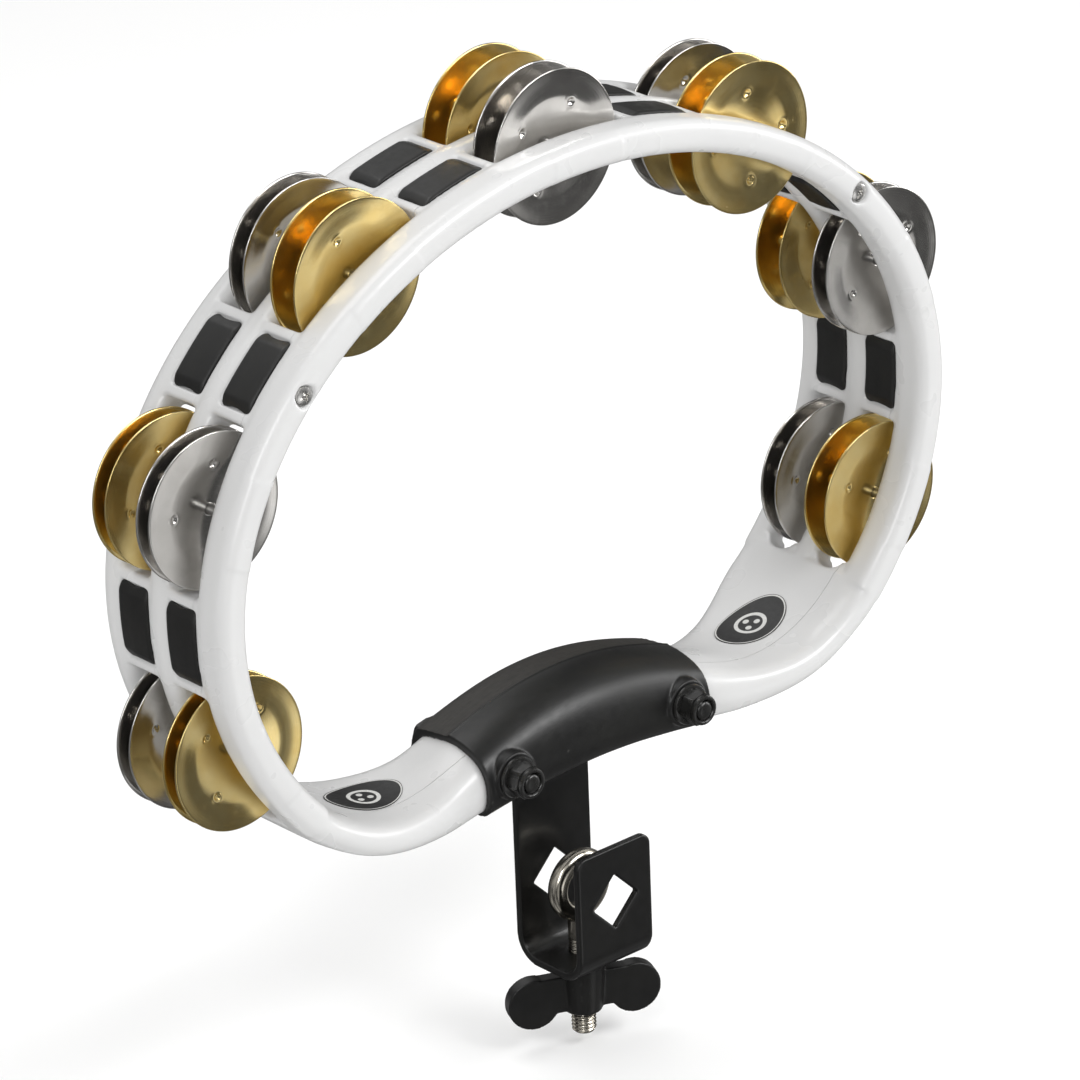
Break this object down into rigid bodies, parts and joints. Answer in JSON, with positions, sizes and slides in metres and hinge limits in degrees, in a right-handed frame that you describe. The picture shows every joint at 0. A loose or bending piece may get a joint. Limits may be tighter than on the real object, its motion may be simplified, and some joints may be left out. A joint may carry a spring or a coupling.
{
  "type": "mountable tambourine",
  "caption": "Oval double-row hand tambourine with paired metal jingles on cross pins, an arched grip and a wing-nut rod clamp under the grip.",
  "frame": {"origin": "middle of the eye of the clamp, where the mounting rod passes", "axes": "+Z away from the grip, +X along the grip, +Y away from the player side (the loose rim faces -Y)"},
  "size_m": [0.3158, 0.0624, 0.319],
  "materials": {
    "shell_white": "gloss",
    "insert_black": "satin",
    "pin_steel": "bright",
    "jingle_brass": "polished",
    "jingle_steel": "polished",
    "cover_black": "satin",
    "bracket_black": "semi-gloss",
    "fastener_black": "satin",
    "screw_steel": "bright",
    "eyebolt_nickel": "plated",
    "wing_nut_black": "satin",
    "label_black": "satin"
  },
  "bodies": {
    "frame": {"clamp_bracket": "bracket_black", "cover_bolts": "fastener_black", "cover_nuts": "fastener_black", "cover_washers": "fastener_black", "frame_body": "shell_white", "front_rim": "shell_white", "insert_front_1": "insert_black", "insert_front_2": "insert_black", "insert_front_3": "insert_black", "insert_front_4": "insert_black", "insert_front_5": "insert_black", "insert_front_6": "insert_black", "insert_rear_1": "insert_black", "insert_rear_2": "insert_black", "insert_rear_3": "insert_black", "insert_rear_4": "insert_black", "insert_rear_5": "insert_black", "insert_rear_6": "insert_black", "label_left": "label_black", "label_right": "label_black", "mount_cover": "cover_black", "rim_screws": "screw_steel"},
    "pin_1": {"jingle_pin_1": "pin_steel"},
    "jingle_front_1a": {"jingle_brass_front_1a": "jingle_brass"},
    "jingle_front_1b": {"jingle_brass_front_1b": "jingle_brass"},
    "jingle_rear_1a": {"jingle_steel_rear_1a": "jingle_steel"},
    "jingle_rear_1b": {"jingle_steel_rear_1b": "jingle_steel"},
    "pin_2": {"jingle_pin_2": "pin_steel"},
    "jingle_front_2a": {"jingle_steel_front_2a": "jingle_steel"},
    "jingle_front_2b": {"jingle_steel_front_2b": "jingle_steel"},
    "jingle_rear_2a": {"jingle_brass_rear_2a": "jingle_brass"},
    "jingle_rear_2b": {"jingle_brass_rear_2b": "jingle_brass"},
    "pin_3": {"jingle_pin_3": "pin_steel"},
    "jingle_front_3a": {"jingle_brass_front_3a": "jingle_brass"},
    "jingle_front_3b": {"jingle_brass_front_3b": "jingle_brass"},
    "jingle_rear_3a": {"jingle_steel_rear_3a": "jingle_steel"},
    "jingle_rear_3b": {"jingle_steel_rear_3b": "jingle_steel"},
    "pin_4": {"jingle_pin_4": "pin_steel"},
    "jingle_front_4a": {"jingle_steel_front_4a": "jingle_steel"},
    "jingle_front_4b": {"jingle_steel_front_4b": "jingle_steel"},
    "jingle_rear_4a": {"jingle_brass_rear_4a": "jingle_brass"},
    "jingle_rear_4b": {"jingle_brass_rear_4b": "jingle_brass"},
    "pin_5": {"jingle_pin_5": "pin_steel"},
    "jingle_front_5a": {"jingle_brass_front_5a": "jingle_brass"},
    "jingle_front_5b": {"jingle_brass_front_5b": "jingle_brass"},
    "jingle_rear_5a": {"jingle_steel_rear_5a": "jingle_steel"},
    "jingle_rear_5b": {"jingle_steel_rear_5b": "jingle_steel"},
    "pin_6": {"jingle_pin_6": "pin_steel"},
    "jingle_front_6a": {"jingle_steel_front_6a": "jingle_steel"},
    "jingle_front_6b": {"jingle_steel_front_6b": "jingle_steel"},
    "jingle_rear_6a": {"jingle_brass_rear_6a": "jingle_brass"},
    "jingle_rear_6b": {"jingle_brass_rear_6b": "jingle_brass"},
    "pin_7": {"jingle_pin_7": "pin_steel"},
    "jingle_front_7a": {"jingle_brass_front_7a": "jingle_brass"},
    "jingle_front_7b": {"jingle_brass_front_7b": "jingle_brass"},
    "jingle_rear_7a": {"jingle_steel_rear_7a": "jingle_steel"},
    "jingle_rear_7b": {"jingle_steel_rear_7b": "jingle_steel"},
    "wing_nut": {"wing_nut": "wing_nut_black"},
    "eyebolt": {"eyebolt": "eyebolt_nickel"}
  },
  "joints": [
    {"name": "pin_1_spin", "type": "hinge", "parent": "frame", "child": "pin_1", "pos_m": [-0.13087, 0.0117, 0.09079], "axis": [0, 1, 0], "continuous": true},
    {"name": "jingle_front_1a_slide", "type": "slide", "parent": "pin_1", "child": "jingle_front_1a", "axis": [0, 1, 0], "range_m": [-0.0014, 0.00038]},
    {"name": "jingle_front_1b_slide", "type": "slide", "parent": "pin_1", "child": "jingle_front_1b", "axis": [0, 1, 0], "range_m": [-0.00038, 0.0038]},
    {"name": "jingle_rear_1a_slide", "type": "slide", "parent": "pin_1", "child": "jingle_rear_1a", "axis": [0, 1, 0], "range_m": [-0.0008, 0.00038]},
    {"name": "jingle_rear_1b_slide", "type": "slide", "parent": "pin_1", "child": "jingle_rear_1b", "axis": [0, 1, 0], "range_m": [-0.00038, 0.0044]},
    {"name": "pin_2_spin", "type": "hinge", "parent": "frame", "child": "pin_2", "pos_m": [-0.13386, 0.0117, 0.16898], "axis": [0, 1, 0], "continuous": true},
    {"name": "jingle_front_2a_slide", "type": "slide", "parent": "pin_2", "child": "jingle_front_2a", "axis": [0, 1, 0], "range_m": [-0.0026, 0.00038]},
    {"name": "jingle_front_2b_slide", "type": "slide", "parent": "pin_2", "child": "jingle_front_2b", "axis": [0, 1, 0], "range_m": [-0.00038, 0.0026]},
    {"name": "jingle_rear_2a_slide", "type": "slide", "parent": "pin_2", "child": "jingle_rear_2a", "axis": [0, 1, 0], "range_m": [-0.0006, 0.00038]},
    {"name": "jingle_rear_2b_slide", "type": "slide", "parent": "pin_2", "child": "jingle_rear_2b", "axis": [0, 1, 0], "range_m": [-0.00038, 0.0046]},
    {"name": "pin_3_spin", "type": "hinge", "parent": "frame", "child": "pin_3", "pos_m": [-0.07809, 0.0117, 0.22557], "axis": [0, 1, 0], "continuous": true},
    {"name": "jingle_front_3a_slide", "type": "slide", "parent": "pin_3", "child": "jingle_front_3a", "axis": [0, 1, 0], "range_m": [-0.0002, 0.00278]},
    {"name": "jingle_front_3b_slide", "type": "slide", "parent": "pin_3", "child": "jingle_front_3b", "axis": [0, 1, 0], "range_m": [-0.00278, 0.0002]},
    {"name": "jingle_rear_3a_slide", "type": "slide", "parent": "pin_3", "child": "jingle_rear_3a", "axis": [0, 1, 0], "range_m": [-0.0011, 0.00068]},
    {"name": "jingle_rear_3b_slide", "type": "slide", "parent": "pin_3", "child": "jingle_rear_3b", "axis": [0, 1, 0], "range_m": [-0.00068, 0.0035]},
    {"name": "pin_4_spin", "type": "hinge", "parent": "frame", "child": "pin_4", "pos_m": [0, 0.0117, 0.244], "axis": [0, 1, 0], "continuous": true},
    {"name": "jingle_front_4a_slide", "type": "slide", "parent": "pin_4", "child": "jingle_front_4a", "axis": [0, 1, 0], "range_m": [-0.0007, 0.00228]},
    {"name": "jingle_front_4b_slide", "type": "slide", "parent": "pin_4", "child": "jingle_front_4b", "axis": [0, 1, 0], "range_m": [-0.00228, 0.0007]},
    {"name": "jingle_rear_4a_slide", "type": "slide", "parent": "pin_4", "child": "jingle_rear_4a", "axis": [0, 1, 0], "range_m": [-0.0002, 0.00278]},
    {"name": "jingle_rear_4b_slide", "type": "slide", "parent": "pin_4", "child": "jingle_rear_4b", "axis": [0, 1, 0], "range_m": [-0.00278, 0.0002]},
    {"name": "pin_5_spin", "type": "hinge", "parent": "frame", "child": "pin_5", "pos_m": [0.07809, 0.0117, 0.22557], "axis": [0, 1, 0], "continuous": true},
    {"name": "jingle_front_5a_slide", "type": "slide", "parent": "pin_5", "child": "jingle_front_5a", "axis": [0, 1, 0], "range_m": [-0.0002, 0.00278]},
    {"name": "jingle_front_5b_slide", "type": "slide", "parent": "pin_5", "child": "jingle_front_5b", "axis": [0, 1, 0], "range_m": [-0.00278, 0.0002]},
    {"name": "jingle_rear_5a_slide", "type": "slide", "parent": "pin_5", "child": "jingle_rear_5a", "axis": [0, 1, 0], "range_m": [-0.0016, 0.00038]},
    {"name": "jingle_rear_5b_slide", "type": "slide", "parent": "pin_5", "child": "jingle_rear_5b", "axis": [0, 1, 0], "range_m": [-0.00038, 0.0036]},
    {"name": "pin_6_spin", "type": "hinge", "parent": "frame", "child": "pin_6", "pos_m": [0.13386, 0.0117, 0.16898], "axis": [0, 1, 0], "continuous": true},
    {"name": "jingle_front_6a_slide", "type": "slide", "parent": "pin_6", "child": "jingle_front_6a", "axis": [0, 1, 0], "range_m": [-0.0013, 0.00068]},
    {"name": "jingle_front_6b_slide", "type": "slide", "parent": "pin_6", "child": "jingle_front_6b", "axis": [0, 1, 0], "range_m": [-0.00068, 0.0033]},
    {"name": "jingle_rear_6a_slide", "type": "slide", "parent": "pin_6", "child": "jingle_rear_6a", "axis": [0, 1, 0], "range_m": [-0.0002, 0.00278]},
    {"name": "jingle_rear_6b_slide", "type": "slide", "parent": "pin_6", "child": "jingle_rear_6b", "axis": [0, 1, 0], "range_m": [-0.00278, 0.0002]},
    {"name": "pin_7_spin", "type": "hinge", "parent": "frame", "child": "pin_7", "pos_m": [0.13087, 0.0117, 0.09079], "axis": [0, 1, 0], "continuous": true},
    {"name": "jingle_front_7a_slide", "type": "slide", "parent": "pin_7", "child": "jingle_front_7a", "axis": [0, 1, 0], "range_m": [-0.0009, 0.00208]},
    {"name": "jingle_front_7b_slide", "type": "slide", "parent": "pin_7", "child": "jingle_front_7b", "axis": [0, 1, 0], "range_m": [-0.00208, 0.0009]},
    {"name": "jingle_rear_7a_slide", "type": "slide", "parent": "pin_7", "child": "jingle_rear_7a", "axis": [0, 1, 0], "range_m": [-0.0015, 0.00068]},
    {"name": "jingle_rear_7b_slide", "type": "slide", "parent": "pin_7", "child": "jingle_rear_7b", "axis": [0, 1, 0], "range_m": [-0.00068, 0.0031]},
    {"name": "wing_nut_turn", "type": "hinge", "parent": "frame", "child": "wing_nut", "pos_m": [0, 0, -0.034], "axis": [0, 0, 1], "range_deg": [-877, 877]},
    {"name": "eyebolt_travel", "type": "slide", "parent": "frame", "child": "eyebolt", "axis": [0, 0, 1], "range_m": [-0.003, 0.003]}
  ],
  "couplings": [
    {"joint": "wing_nut_turn", "follows": "eyebolt_travel", "rad_per_m": -5026.5}
  ]
}
